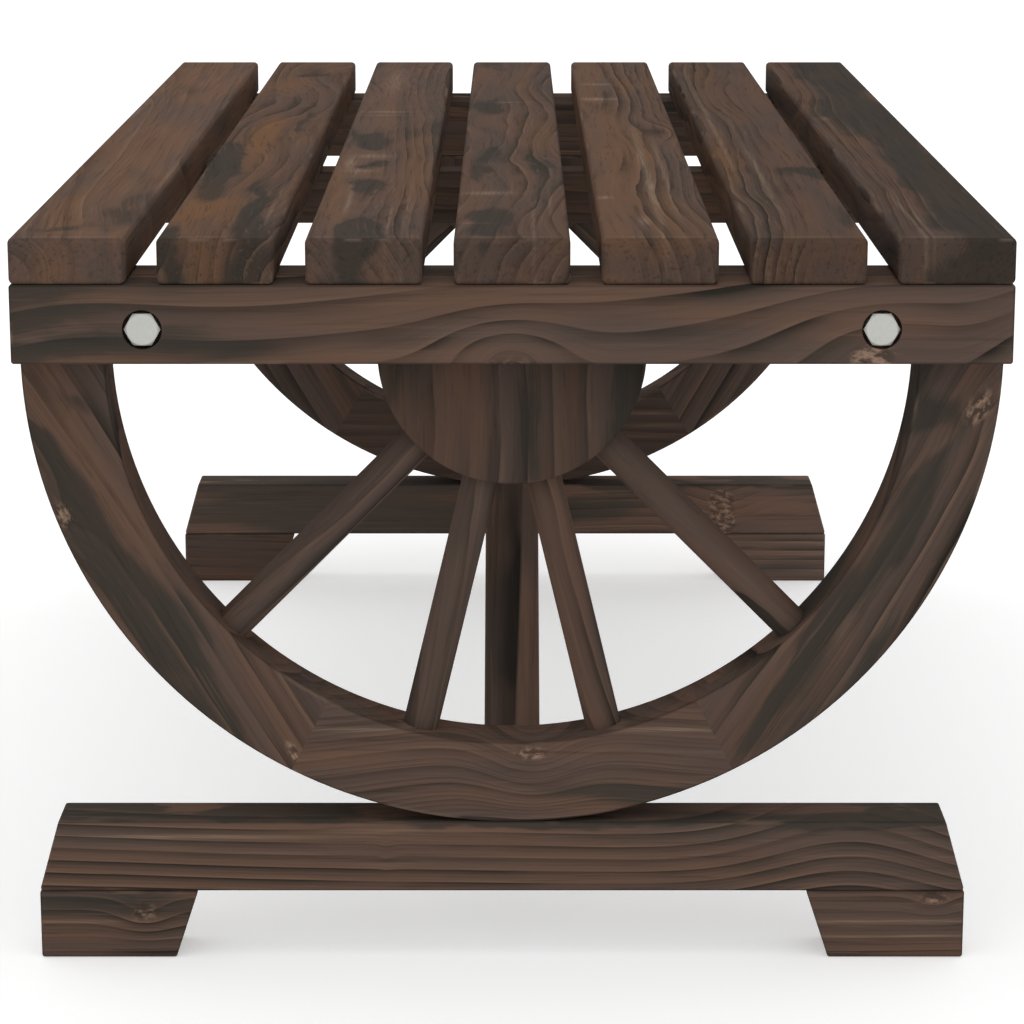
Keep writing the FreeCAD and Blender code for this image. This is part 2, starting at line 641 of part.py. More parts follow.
def wood_screw(name, length):
    """Screw that stands on its head, with a tapered point."""
    body_length = f"({length} - Sizes.screw_point_length)"
    head = cylinder(f"{name}Head", "Sizes.screw_head_diameter", "Sizes.screw_head_height")
    shank = cylinder(f"{name}Shank", "Sizes.screw_diameter", body_length)
    point = doc.addObject("Part::Cone", f"{name}Point")
    point.setExpression("Radius1", "Sizes.screw_diameter / 2")
    point.Radius2 = 0
    point.setExpression("Height", "Sizes.screw_point_length")
    point.setExpression("Placement.Base.z", body_length)
    screw = doc.addObject("Part::MultiFuse", name)
    screw.Shapes = [head, shank, point]
    return screw


def make_screws():
    """Wood screws, all driven from below or from inside, where no visible face shows them."""
    short = wood_screw("ShortScrew", "Sizes.short_screw_length")
    long = wood_screw("LongScrew", "Sizes.long_screw_length")
    slat_places, foot_places, rim_places, strut_places = [], [], [], []
    for index in slat_numbers():
        for facing in ENDS.values():
            slat_places.append({
                "x": slat_x(index), "y": end_y(facing, "Sizes.rail_depth / 2"),
                "z": f"({WHEEL_CENTRE} + {RAIL_SCREW_START})",
            })
        batten_base = f"({RAIL_TOP} - Sizes.batten_height)"
        slat_places.append({"x": slat_x(index), "z": f"({batten_base} + {BATTEN_SCREW_START})"})
    for facing in ENDS.values():
        foot_y = end_y(facing, f"({WHEEL_FACE} + Sizes.beam_depth / 2)")
        rim_y = end_y(facing, f"({WHEEL_FACE} + {LAP_DEPTH})")
        for side in SIDES.values():
            for x in block_screw_x(facing, side):
                foot_places.append({"x": f"({facing} * {x})", "y": foot_y, "z": BLOCK_SCREW_START})
            rim_places.append({
                "x": f"({side} * Sizes.rim_screw_spread / 2)", "y": rim_y,
                "z": f"({BEAM_BASE} + {BEAM_SCREW_START})",
            })
        strut_x = f"({facing} * {STRUT_SCREW_X})"
        low = end_y(facing, f"({BEAM_BACK} + {STRUT_SCREW_GRIP})")
        high = end_y(facing, f"({BATTEN_FACE} - {STRUT_SCREW_GRIP})")
        quarter = HALF_TURN / 2
        for y, z, turn in ((low, STRUT_LOW, facing * quarter), (high, STRUT_HIGH, -facing * quarter)):
            strut_places.append({"x": strut_x, "y": y, "z": z, "axis": (1, 0, 0), "turn": str(turn)})
    group("slat_screws", short, slat_places)
    group("foot_block_screws", long, foot_places)
    group("rim_screws", long, rim_places)
    group("strut_screws", short, strut_places)


def make_dowels():
    """Wooden dowels of each wheel: upright ones into the bar, and level ones through the laps."""
    upright = cylinder("BarDowel", "Sizes.dowel_diameter", "Sizes.bar_dowel_length")
    level = cylinder("LapDowel", "Sizes.dowel_diameter", "Sizes.lap_dowel_length")
    for end, facing in ENDS.items():
        y = end_y(facing, f"({WHEEL_FACE} + {LAP_DEPTH})")
        base = f"({WHEEL_CENTRE} - {BAR_DOWEL_DROP})"
        group(f"{end}_bar_dowels", upright, [{"x": x, "y": y, "z": base} for x in bar_dowel_places()])
        start = end_y(facing, f"({WHEEL_FACE} + {LAP_DEPTH} + {facing} * Sizes.lap_dowel_length / 2)")
        places = []
        for side in SIDES.values():
            places.append({
                "x": f"({side} * {RIM_MIDDLE} * sin({LAP_MIDDLE_ANGLE}))", "y": start,
                "z": f"({WHEEL_CENTRE} - {RIM_MIDDLE} * cos({LAP_MIDDLE_ANGLE}))",
                "axis": (1, 0, 0), "turn": str(HALF_TURN / 2),
            })
        group(f"{end}_lap_dowels", level, places)


def check_pieces():
    """Stop if any object failed, or if a piece has no valid solid."""
    doc.recompute()
    for thing in doc.Objects:
        if {"Invalid", "Error"} & set(thing.State):
            raise RuntimeError(f"{thing.Label} failed: {thing.State}")
    for piece in pieces:
        shape = piece.Shape
        if shape.isNull() or not shape.isValid() or not shape.Solids:
            raise RuntimeError(f"{piece.Label} has no valid solid")


def write_pieces():
    os.makedirs("parts", exist_ok=True)
    for piece in pieces:
        piece.Shape.exportStep(f"parts/{piece.Label}.step")
    print(f"{len(pieces)} pieces written")


sizes = fill_sheet()
make_slats()
make_batten()
for end_name, end_facing in ENDS.items():
    make_rail(end_name, end_facing)
    make_wheel_bar(end_name, end_facing)
    make_rim_bottom(end_name, end_facing)
    make_hub(end_name, end_facing)
    make_spokes(end_name, end_facing)
    make_foot_beam(end_name, end_facing)
    make_strut(end_name, end_facing)
    for side_name, side_sign in SIDES.items():
        make_rim_side(end_name, end_facing, side_name, side_sign)
        make_foot_block(end_name, end_facing, side_name, side_sign)
make_bolts()
make_screws()
make_dowels()
check_pieces()
write_pieces()
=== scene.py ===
import math

import bpy
from mathutils import Matrix, Vector

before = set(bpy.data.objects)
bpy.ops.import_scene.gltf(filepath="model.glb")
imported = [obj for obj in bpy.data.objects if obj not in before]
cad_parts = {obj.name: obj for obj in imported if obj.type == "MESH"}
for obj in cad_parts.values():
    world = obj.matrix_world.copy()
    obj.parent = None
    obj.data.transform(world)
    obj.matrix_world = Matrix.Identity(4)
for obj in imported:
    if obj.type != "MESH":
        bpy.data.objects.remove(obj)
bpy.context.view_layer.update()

# A coffee table of seven slats on two half cartwheels, in burnt and brushed softwood. The CAD nodes hold
# every shape, and this script gives them their looks. The frame is in metres, and the lengths here are in
# millimetres where nothing else is said. The front end is at -Y, and seen from there left is -X.
MM = 0.001
X, Y, Z = Vector((1, 0, 0)), Vector((0, 1, 0)), Vector((0, 0, 1))

# Camera: the photograph's place in metres, how far it looks down in degrees, its lens and its film
CAMERA_PLACE = (0.0, -2.085, 0.6335)
CAMERA_PITCH = 13.2
CAMERA_LENS = 117.2
CAMERA_FILM = 36.0

# Studio: a lamp from above, a little from the left, with its spread in degrees, in an even sky
LAMP_STRENGTH = 0.3
LAMP_SPREAD = 60
LAMP_DIRECTION = (0.15, 0.05, -1.0)
SKY_LIGHT = 0.85
SKY_SEEN = 1.0

# Floor: its size in metres, its drop in metres, which keeps it off the feet's faces, and its pale look
FLOOR_REACH = 30.0
FLOOR_DROP = 0.0002
FLOOR_COLOR = (0.8, 0.8, 0.8, 1.0)
FLOOR_ROUGHNESS = 0.9
FLOOR_GLOW = 0.4
WHITE = (1.0, 1.0, 1.0, 1.0)

# Top: the slats lie side by side over the whole width, and have an arris at each end
TABLE_WIDTH = 500.0
TABLE_TOP = 389.0
SLAT_COUNT = 7
SLAT_WIDTH = 58.0
SLAT_PITCH = (TABLE_WIDTH - SLAT_WIDTH) / (SLAT_COUNT - 1)
SLAT_ARRIS = 445.5

# Ends: how far the faces that look out of the table lie from its middle
RAIL_FACE = 450.0
WHEEL_FACE = 418.0

# Heights of the pieces' middles. In a pair, the first number says how far out the piece lies
RAIL_MIDDLE = 345.5
BATTEN_MIDDLE = 350.0
HUB_MIDDLE = 300.0
RIM_BOTTOM_MIDDLE = 100.0
RIM_SIDE_MIDDLE = (200.0, 240.0)
BEAM_MIDDLE = 56.0
BLOCK_MIDDLE = (205.0, 18.0)
STRUT_MIDDLE = (210.0, 200.0)

# Wheel: its centre's height, its rim's outer and inner radius, and how far out the middle of a spoke lies
WHEEL_CENTRE = 325.5
WHEEL_RADII = (250.0, 207.0)
SPOKE_MIDDLE = 140.0

# Directions: ends and sides, the strut's run and rise, and in degrees how far the side rims lean from
# upright and the spokes from straight down
ENDS = {"front": -1, "rear": 1}
SIDES = {"left": -1, "right": 1}
STRUT_RUN, STRUT_RISE = 0.80, 0.60
RIM_SIDE_LEAN = 30
SPOKES = {"outer_left": -44.8, "inner_left": -13.4, "inner_right": 13.4, "outer_right": 44.8}


def srgb(red, green, blue):
    """A colour of 0 to 255 as the linear values that a shader takes."""
    def linear(part):
        part /= 255
        return part / 12.92 if part <= 0.04045 else ((part + 0.055) / 1.055) ** 2.4
    return (linear(red), linear(green), linear(blue), 1.0)


# Wood colours
BROWN = srgb(99, 83, 75)
RED_BROWN = srgb(113, 88, 74)
ORANGE_BROWN = srgb(126, 93, 68)
AMBER = srgb(140, 112, 92)
PALE = srgb(160, 136, 115)
RUBBED = srgb(132, 111, 95)
CHAR = srgb(46, 41, 37)
# A grey for smoke and grain bands, and for painted shade along the foot beams' tops
SMOKE_AND_SHADE = srgb(63, 60, 55)
STRAW = srgb(180, 148, 125)

# Length, width and depth of the wood's patterns
SLOW_WAVE_SIZE = (210, 60, 60)
QUICK_WAVE_SIZE = (65, 24, 24)
STRENGTH_SIZE = (120, 26, 26)
SMOKE_SIZE = (150, 34, 34)
HUE_SIZE = (190, 22, 22)
STREAK_SIZE = (110, 2.2, 2.2)
FRAY_SIZE = (6, 3.5, 6)
FIBRE_LENGTH = 45
FIBRES_PER_GROWTH = 1.1

# How far the patterns of one seed lie from those of the next
OWN_STEP = (371.0, 913.0, 539.0)
PATCH_STEP = (173.0, 419.0, 257.0)
BAND_STEP, FINE_STEP, FIBRE_STEP = 17.0, 29.0, 3.0

# Waves: how far they reach across the grain, the quick ones' share, and how ragged blotches are
WAVE_REACH = 4.0
QUICK_SHARE = 0.16
RAGGED_REACH = (110.0, 26.0, 0.0)

# One burnt ring: the height of its layers at shares of its width, how many fine lines it holds, how weak its
# layers may get, and how fast char turns to smoke across it
BROAD_BAND = ((0.0, 1.0), (0.1, 0.85), (0.35, 0.45), (0.65, 0.12), (0.88, 0.0), (0.965, 0.0), (1.0, 1.0))
FINE_LINE = ((0.0, 1.0), (0.3, 0.5), (0.9, 0.0), (1.0, 0.8))
LIGHT_LINE = ((0.0, 0.0), (0.75, 0.0), (0.93, 1.0), (0.965, 0.9), (1.0, 0.0))
FINE_LINES = 3.7
LEAST_BAND, LEAST_LUCK, LEAST_LIGHT_LINE = 0.35, 0.45, 0.1
CHAR_FADE = 2.0

# Noise levels between which a layer comes in
STRENGTH_LEVELS = (0.35, 0.6)
LUCK_LEVELS = (0.1, 0.8)
LIGHT_LINE_LEVELS = (0.42, 0.62)
HUE_LEVELS = (0.34, 0.66)
ORANGE_LEVELS = (0.4, 0.6)
GLOW_LEVELS = (0.3, 0.65)
DARK_STREAK_LEVELS = (0.34, 0.42)
PALE_STREAK_LEVELS = (0.6, 0.7)
SHADE_LEVELS = (0.6, 1.4)
RUBBED_LEVELS = (0.56, 0.66)
CORE_LEVELS = (0.15, 0.6)
FRAY_LEVELS = (0.42, 0.68)
FRAY_CORE_LEVELS = (0.1, 0.7)

# Smoke, which also carries painted shade: its level in an unburnt board, what burning takes off that, its
# soft edge, and what feathers it
SMOKE_LEVEL = 0.82
BURN_REACH = 0.35
SMOKE_EDGE = (-0.07, 0.11)
SMOKE_FEATHER = 0.22
SMOKE_ON_BANDS = 0.08

# How far each layer hides what lies under it
LEAST_ORANGE = 0.15
GLOW_COVERS = (0.3, 0.8)
SMOKE_AND_SHADE_COVER = 0.78
LIGHT_LINE_COVER = 0.4
STREAK_COVER = 0.3
SHADE_SWING = 0.13
CORNER_COVER = 0.6
RUBBED_COVER = 0.45
CORE_COVER = 0.35
FRAY_COVER = 0.65

# Edges: how far the darkening reaches from a corner, and between which distances the wood is rubbed pale
CORNER_REACH = 1.6
RUBBED_REACH = (0.4, 2.4)

# Surface: roughness, shine, and how far lines and fibres stand in or out, with the relief in metres
WOOD_ROUGHNESS = 0.58
FIBRE_ROUGHNESS, BAND_ROUGHNESS = 0.18, 0.10
WOOD_SHINE = 0.005
BAND_GROOVE, FINE_GROOVE, FIBRE_RIDGE = -0.5, -0.25, 0.25
WOOD_RELIEF = dict(Strength=0.35, Distance=0.0006)

# Metal and dowels: specks and clouds to a metre, their shares, levels and shades, and the relief in metres
SPECKS_PER_METRE, CLOUDS_PER_METRE = 900.0, 120.0
SPECK_SHARE, CLOUD_SHARE = 0.4, 0.6
CLOUD_LEVELS = (0.3, 0.7)
CLOUD_SHADES = (0.92, 1.06)
CLOUD_ROUGHNESS = 0.06
SPECK_RELIEF = dict(Strength=0.08, Distance=0.0002)

# Length of a spot out of a board's face, which takes it right through the board
THROUGH = 4000.0


class Wires:
    """Short calls for the nodes of one tree. Each returns an output that the next one can take."""

    def __init__(self, tree):
        self.tree = tree

    def node(self, kind, settings=None, **inputs):
        """A node with its settings. An input's name has underscores for its spaces."""
        made = self.tree.nodes.new(kind)
        for name, value in (settings or {}).items():
            setattr(made, name, value)
        for name, value in inputs.items():
            self.feed(made.inputs[name.replace("_", " ")], value)
        return made

    def feed(self, socket, value):
        if isinstance(value, bpy.types.NodeSocket):
            self.tree.links.new(value, socket)
        else:
            socket.default_value = value

    def math(self, operation, *values):
        made = self.node("ShaderNodeMath", {"operation": operation})
        for socket, value in zip(made.inputs, values):
            self.feed(socket, value)
        return made.outputs[0]

    def add(self, a, b):
        return self.math("ADD", a, b)

    def times(self, a, b):
        return self.math("MULTIPLY", a, b)

    def vector(self, operation, *values, output=0):
        made = self.node("ShaderNodeVectorMath", {"operation": operation})
        for socket, value in zip(made.inputs, values):
            self.feed(socket, value)
        return made.outputs[output]

    def scaled(self, vector, scale):
        made = self.node("ShaderNodeVectorMath", {"operation": "SCALE"}, Scale=scale)
        self.feed(made.inputs[0], vector)
        return made.outputs[0]

    def split(self, vector):
        return self.node("ShaderNodeSeparateXYZ", Vector=vector).outputs

    def join(self, x, y, z):
        return self.node("ShaderNodeCombineXYZ", X=x, Y=y, Z=z).outputs[0]

    def noise(self, place, size=None, detail=2.0, roughness=0.5, output="Fac"):
        """Soft noise whose patches have the given length, width and depth."""
        if size:
            place = self.vector("MULTIPLY", place, tuple(1 / part for part in size))
        made = self.node(
            "ShaderNodeTexNoise", {"noise_dimensions": "3D"},
            Vector=place, Scale=1.0, Detail=detail, Roughness=roughness,
        )
        return made.outputs[output]

    def pick(self, number):
        """The same random number between 0 and 1 for the same whole number."""
        made = self.node("ShaderNodeTexWhiteNoise", {"noise_dimensions": "1D"}, W=number)
        return made.outputs["Value"]

    def between(self, value, low, high, start=0.0, end=1.0, smooth=True):
        """Takes low..high to start..end, and holds the ends."""
        kind = "SMOOTHSTEP" if smooth else "LINEAR"
        made = self.node("ShaderNodeMapRange", {"interpolation_type": kind, "clamp": True})
        sockets = ("Value", "From Min", "From Max", "To Min", "To Max")
        for socket, number in zip(sockets, (value, low, high, start, end)):
            self.feed(made.inputs[socket], number)
        return made.outputs[0]

    def ramp(self, value, stops):
        """A curve through stops of (place, height)."""
        made = self.node("ShaderNodeValToRGB", Fac=value)
        points = made.color_ramp.elements
        while len(points) < len(stops):
            points.new(0.5)
        for point, (place, height) in zip(points, stops):
            point.position = place
            point.color = (height, height, height, 1.0)
        return made.outputs[0]

    def mix(self, share, first, second):
        """Two colours, with this share of the second."""
        made = self.node("ShaderNodeMix", {"data_type": "RGBA", "blend_type": "MIX"})
        self.feed(made.inputs[0], share)
        self.feed(made.inputs[6], first)
        self.feed(made.inputs[7], second)
        return made.outputs[2]


def new_group(name, inputs, outputs):
    """An empty node group with its sockets, given as (name, kind)."""
    tree = bpy.data.node_groups.new(name, "ShaderNodeTree")
    for side, sockets in (("INPUT", inputs), ("OUTPUT", outputs)):
        for socket, kind in sockets:
            tree.interface.new_socket(socket, in_out=side, socket_type=f"NodeSocket{kind}")
    source = tree.nodes.new("NodeGroupInput")
    sink = tree.nodes.new("NodeGroupOutput")
    return tree, source.outputs, sink.inputs


def new_material(name):
    """A material with nothing in it, and the wires of its tree."""
    material = bpy.data.materials.new(name)
    material.use_nodes = True
    material.node_tree.nodes.clear()
    return material, Wires(material.node_tree)


def make_bell_group():
    """Adds a bell to what is there so far, highest at its centre and fading over its length and width."""
    tree, given, result = new_group(
        "bell",
        [("Place", "Vector"), ("Centre", "Vector"), ("Size", "Vector"),
         ("Height", "Float"), ("So far", "Float")],
        [("Sum", "Float")],
    )
    w = Wires(tree)
    away = w.vector("DIVIDE", w.vector("SUBTRACT", given["Place"], given["Centre"]), given["Size"])
    squared = w.vector("DOT_PRODUCT", away, away, output="Value")
    bell = w.math("EXPONENT", w.times(squared, -1.0))
    w.feed(result["Sum"], w.math("MULTIPLY_ADD", bell, given["Height"], given["So far"]))
    return tree


def make_bend_group():
    """Slow and quick waves, which give the bent place for the grain and the ragged place for blotches."""
    tree, given, result = new_group(
        "bend", [("Place", "Vector"), ("Seed", "Float"), ("Wave", "Float")],
        [("Bent", "Vector"), ("Own", "Vector"), ("Ragged", "Vector"), ("Quick", "Float")],
    )
    w = Wires(tree)
    place, half = given["Place"], (0.5, 0.5, 0.5)
    own = w.vector("ADD", place, w.scaled(OWN_STEP, given["Seed"]))
    slow = w.noise(own, SLOW_WAVE_SIZE, detail=0.0, output="Color")
    quick = w.noise(own, QUICK_WAVE_SIZE, detail=3.0, output="Color")
    quick_push = w.vector("SUBTRACT", quick, half)
    push = w.vector("ADD", w.vector("SUBTRACT", slow, half), w.scaled(quick_push, QUICK_SHARE))
    push = w.scaled(push, w.times(given["Wave"], WAVE_REACH))
    w.feed(result["Bent"], w.vector("ADD", place, push))
    w.feed(result["Own"], own)
    ragged_push = w.vector("MULTIPLY", quick_push, RAGGED_REACH)
    w.feed(result["Ragged"], w.vector("ADD", place, ragged_push))
    w.feed(result["Quick"], quick.node.outputs["Fac"])
    return tree


def make_wood_group():
    """Burnt and brushed softwood, from a place in millimetres along, across and out of a board."""
    tree, given, result = new_group(
        "burnt_wood",
        [("Place", "Vector"), ("Bent", "Vector"), ("Own", "Vector"), ("Quick", "Float"),
         ("Seed", "Float"), ("Pith", "Vector"), ("Ring", "Float"), ("Slope", "Float"),
         ("Lift", "Float"), ("Core", "Float"), ("Smoke", "Float"), ("Glow", "Float"),
         ("Calm", "Float"), ("Warmth", "Float"), ("Edge", "Float"), ("Burn", "Float"),
         ("Depth", "Float"), ("Fine", "Float"), ("Streaks", "Float"), ("Tone", "Float")],
        [("Color", "Color"), ("Roughness", "Float"), ("Height", "Float")],
    )
    w = Wires(tree)
    bent, own, seed, edge = (given[name] for name in ("Bent", "Own", "Seed", "Edge"))

    # Distance from the line of the tree's heart, plus the taper of the trunk and the knots
    from_pith = w.vector("MULTIPLY", w.vector("SUBTRACT", bent, given["Pith"]), (0.0, 1.0, 1.0))
    radius = w.vector("LENGTH", from_pith, output="Value")
    along = w.split(given["Place"])[0]
    growth = w.add(w.math("MULTIPLY_ADD", along, given["Slope"], radius), given["Lift"])

    # Broad burnt bands with one crisp side, fine lines between them, and light lines beside them
    patch_place = w.vector("ADD", bent, w.scaled(PATCH_STEP, seed))
    strength = w.noise(patch_place, STRENGTH_SIZE)
    lively = w.between(given["Calm"], 0.0, 1.0, 1.0, 0.0)
    faint = w.times(w.between(strength, *STRENGTH_LEVELS, LEAST_BAND, 1.0), lively)
    turns = w.math("DIVIDE", growth, given["Ring"])
    band, part = w.math("FLOOR", turns), w.math("FRACT", turns)
    luck = w.pick(w.add(band, w.times(seed, BAND_STEP)))
    band_strength = w.times(w.between(luck, *LUCK_LEVELS, LEAST_LUCK, 1.0, smooth=False), faint)
    broad = w.times(w.ramp(part, BROAD_BAND), band_strength)
    fine_turns = w.times(turns, FINE_LINES)
    fine_luck = w.pick(w.math("MULTIPLY_ADD", seed, FINE_STEP, w.math("FLOOR", fine_turns)))
    fine_part = w.ramp(w.math("FRACT", fine_turns), FINE_LINE)
    fine = w.times(w.times(fine_part, fine_luck), lively)
    light_strength = w.times(lively, w.between(strength, *LIGHT_LINE_LEVELS, LEAST_LIGHT_LINE, 1.0))
    light_line = w.times(w.times(w.ramp(part, LIGHT_LINE), luck), light_strength)

    # Fibres that follow the rings, and streaks that follow the board
    fibre_place = w.join(
        w.times(along, 1 / FIBRE_LENGTH), w.times(growth, FIBRES_PER_GROWTH), w.times(seed, FIBRE_STEP),
    )
    fibre = w.noise(fibre_place, detail=2.0, roughness=0.6)
    streak = w.noise(patch_place, STREAK_SIZE, detail=3.0, roughness=0.6)
    threads = w.add(fibre, streak)

    # Smoky patches where the flame stayed longer, and painted shade where a board's smoke spots set it, as
    # along the foot beams' tops under the table
    patch_noise = w.noise(patch_place, SMOKE_SIZE, detail=1.5, roughness=0.4)
    feather = w.math("MULTIPLY_ADD", threads, SMOKE_FEATHER, -SMOKE_FEATHER)
    patch_noise = w.math("MULTIPLY_ADD", broad, SMOKE_ON_BANDS, patch_noise)
    patch_level = w.add(patch_noise, w.add(given["Smoke"], feather))
    threshold = w.math("SUBTRACT", SMOKE_LEVEL, w.times(given["Burn"], BURN_REACH))
    patch = w.between(w.math("SUBTRACT", patch_level, threshold), *SMOKE_EDGE)

    # Colour
    hue = w.noise(patch_place, HUE_SIZE)
    warm = w.between(w.add(w.between(hue, *HUE_LEVELS), given["Warmth"]), 0.0, 1.0, smooth=False)
    color = w.mix(warm, BROWN, RED_BROWN)
    orange = w.times(w.between(hue, *ORANGE_LEVELS, LEAST_ORANGE, 1.0), given["Warmth"])
    color = w.mix(orange, color, ORANGE_BROWN)
    color = w.mix(w.times(given["Glow"], w.between(fibre, *GLOW_LEVELS, *GLOW_COVERS)), color, PALE)
    color = w.mix(w.times(fine, given["Fine"]), color, CHAR)
    band_color = w.mix(w.times(part, CHAR_FADE), CHAR, SMOKE_AND_SHADE)
    color = w.mix(w.times(broad, given["Depth"]), color, band_color)
    # The smoke patches, with the painted shade of the foot beams' tops, darken towards grey
    color = w.mix(w.times(patch, SMOKE_AND_SHADE_COVER), color, SMOKE_AND_SHADE)
    color = w.mix(w.times(light_line, LIGHT_LINE_COVER), color, AMBER)
    dark_streaks = w.between(streak, *DARK_STREAK_LEVELS, STREAK_COVER, 0.0)
    color = w.mix(w.times(dark_streaks, given["Streaks"]), color, CHAR)
    pale_streaks = w.times(w.between(streak, *PALE_STREAK_LEVELS, 0.0, STREAK_COVER), faint)
    color = w.mix(w.times(pale_streaks, given["Streaks"]), color, AMBER)
    shade = w.between(threads, *SHADE_LEVELS, -SHADE_SWING, SHADE_SWING, smooth=False)
    shade = w.math("MULTIPLY_ADD", shade, given["Streaks"], 1.0)
    color = w.scaled(color, w.times(shade, given["Tone"]))

    # Along the edges: darker close to a corner, and worn pale where the fibres stand up
    color = w.mix(w.between(edge, 0.0, CORNER_REACH, CORNER_COVER, 0.0), color, CHAR)
    rub = w.times(w.between(edge, *RUBBED_REACH, 1.0, 0.0), w.between(given["Quick"], *RUBBED_LEVELS))
    color = w.mix(w.times(rub, RUBBED_COVER), color, RUBBED)

    # Knot cores, charred with pale frayed fibres
    color = w.mix(w.times(w.between(given["Core"], *CORE_LEVELS), CORE_COVER), color, CHAR)
    fray_noise = w.noise(own, FRAY_SIZE, detail=3.0, roughness=0.65)
    fray = w.times(w.between(fray_noise, *FRAY_LEVELS), w.between(given["Core"], *FRAY_CORE_LEVELS))
    color = w.mix(w.times(fray, FRAY_COVER), color, STRAW)
    w.feed(result["Color"], color)

    # Surface
    rough = w.math("MULTIPLY_ADD", fibre, FIBRE_ROUGHNESS, w.times(broad, BAND_ROUGHNESS))
    w.feed(result["Roughness"], w.add(rough, WOOD_ROUGHNESS))
    groove = w.math("MULTIPLY_ADD", broad, BAND_GROOVE, w.times(fine, FINE_GROOVE))
    w.feed(result["Height"], w.math("MULTIPLY_ADD", threads, FIBRE_RIDGE, groove))
    return tree


BELL_GROUP = make_bell_group()
BEND_GROUP = make_bend_group()
WOOD_GROUP = make_wood_group()


def edge_distance(w, place, low, high, wheel):
    """Millimetres from a board's nearest edge: on a face, the second shortest way to another face."""
    sides = w.vector("MINIMUM", w.vector("SUBTRACT", place, low), w.vector("SUBTRACT", high, place))
    a, b, c = w.split(sides)
    if wheel:
        centre, outer, inner = wheel
        flat = w.vector("MULTIPLY", w.vector("SUBTRACT", place, centre), (1.0, 1.0, 0.0))
        radius = w.vector("LENGTH", flat, output="Value")
        a, b = w.math("SUBTRACT", outer, radius), w.math("SUBTRACT", radius, inner)
    shorter, longer = w.math("MINIMUM", a, b), w.math("MAXIMUM", a, b)
    return w.math("MAXIMUM", shorter, w.math("MINIMUM", longer, c))


def dress(node, material):
    """Give a CAD node a material in every slot."""
    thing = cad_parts[node]
    if not thing.material_slots:
        thing.data.materials.append(material)
    for slot in thing.material_slots:
        slot.material = material


def dress_wood(
    node, centre, along, face, pith=(0.0, -60.0), ring=12.0, slope=0.02, wave=5.0,
    burn=0.5, depth=0.85, fine=0.3, streaks=1.0, warmth=0.0, tone=1.0, seed=0, wheel=None,
    lifts=(), cores=(), smokes_and_shade=(), glows=(), calms=(), warms=(),
):
    """Give a board its wood.

    Centre is a place on the table, along and face are directions, and pith is how far the tree's heart lies
    across the board and out of its face. Ring is how far apart the burnt bands are, slope the taper of the
    trunk, and wave how far the grain wanders. Burn is the amount of smoke, depth, fine and streaks are the
    strength of bands, lines and fibres, and warmth and tone set the colour. Wheel is the outer and inner
    radius of a piece that is cut to the wheel's round.

    The rest are lists of spots, each (place, length, width, amount). Lifts bend the rings round a knot, cores
    are where its pale fibres fray, smoke spots are dark blotches and, along the foot beams' tops, painted
    shade, glows pale streaks, calms zones of few lines, and warms orange zones.
    """
    along, face = Vector(along).normalized(), Vector(face).normalized()
    axes = Matrix((along, face.cross(along), face))

    def local(point):
        return axes @ (Vector(point) - Vector(centre))

    def bells(spots, place, so_far=0.0):
        for spot, length, width, amount in spots:
            spot = local(spot)
            bell = w.node(
                "ShaderNodeGroup", {"node_tree": BELL_GROUP}, Place=place, Centre=(spot.x, spot.y, 0.0),
                Size=(length, width, THROUGH), Height=amount, So_far=so_far,
            )
            so_far = bell.outputs["Sum"]
        return so_far

    material, w = new_material(node)
    mapping = w.node(
        "ShaderNodeMapping", {"vector_type": "TEXTURE"},
        Vector=w.node("ShaderNodeTexCoord").outputs["Object"],
        Location=Vector(centre) * MM, Rotation=axes.transposed().to_euler(), Scale=(MM, MM, MM),
    )
    place = mapping.outputs[0]
    bend = w.node("ShaderNodeGroup", {"node_tree": BEND_GROUP}, Place=place, Seed=float(seed), Wave=wave)
    bent, own, ragged, quick = bend.outputs

    corners = [local(vertex.co / MM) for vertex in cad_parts[node].data.vertices]
    low, high = ([extreme(corner[i] for corner in corners) for i in range(3)] for extreme in (min, max))
    if wheel:
        wheel = (local((0.0, centre[1], WHEEL_CENTRE)), *wheel)

    grain = w.node(
        "ShaderNodeGroup", {"node_tree": WOOD_GROUP},
        Place=place, Bent=bent, Own=own, Quick=quick, Edge=edge_distance(w, place, low, high, wheel),
        Lift=bells(lifts, place), Core=bells(cores, place), Smoke=bells(smokes_and_shade, ragged),
        Glow=bells(glows, place), Calm=bells(calms, ragged), Warmth=bells(warms, ragged, warmth),
        Seed=float(seed), Pith=(0.0, *pith), Ring=ring, Slope=slope,
        Burn=burn, Depth=depth, Fine=fine, Streaks=streaks, Tone=tone,
    )
    bump = w.node("ShaderNodeBump", Height=grain.outputs["Height"], **WOOD_RELIEF)
    shader = w.node(
        "ShaderNodeBsdfPrincipled", Base_Color=grain.outputs["Color"], Roughness=grain.outputs["Roughness"],
        Normal=bump.outputs[0], Specular_IOR_Level=WOOD_SHINE,
    )
    w.node("ShaderNodeOutputMaterial", Surface=shader.outputs[0])
    dress(node, material)


SPOT_KINDS = ("lifts", "cores", "smokes_and_shade", "glows", "calms", "warms")

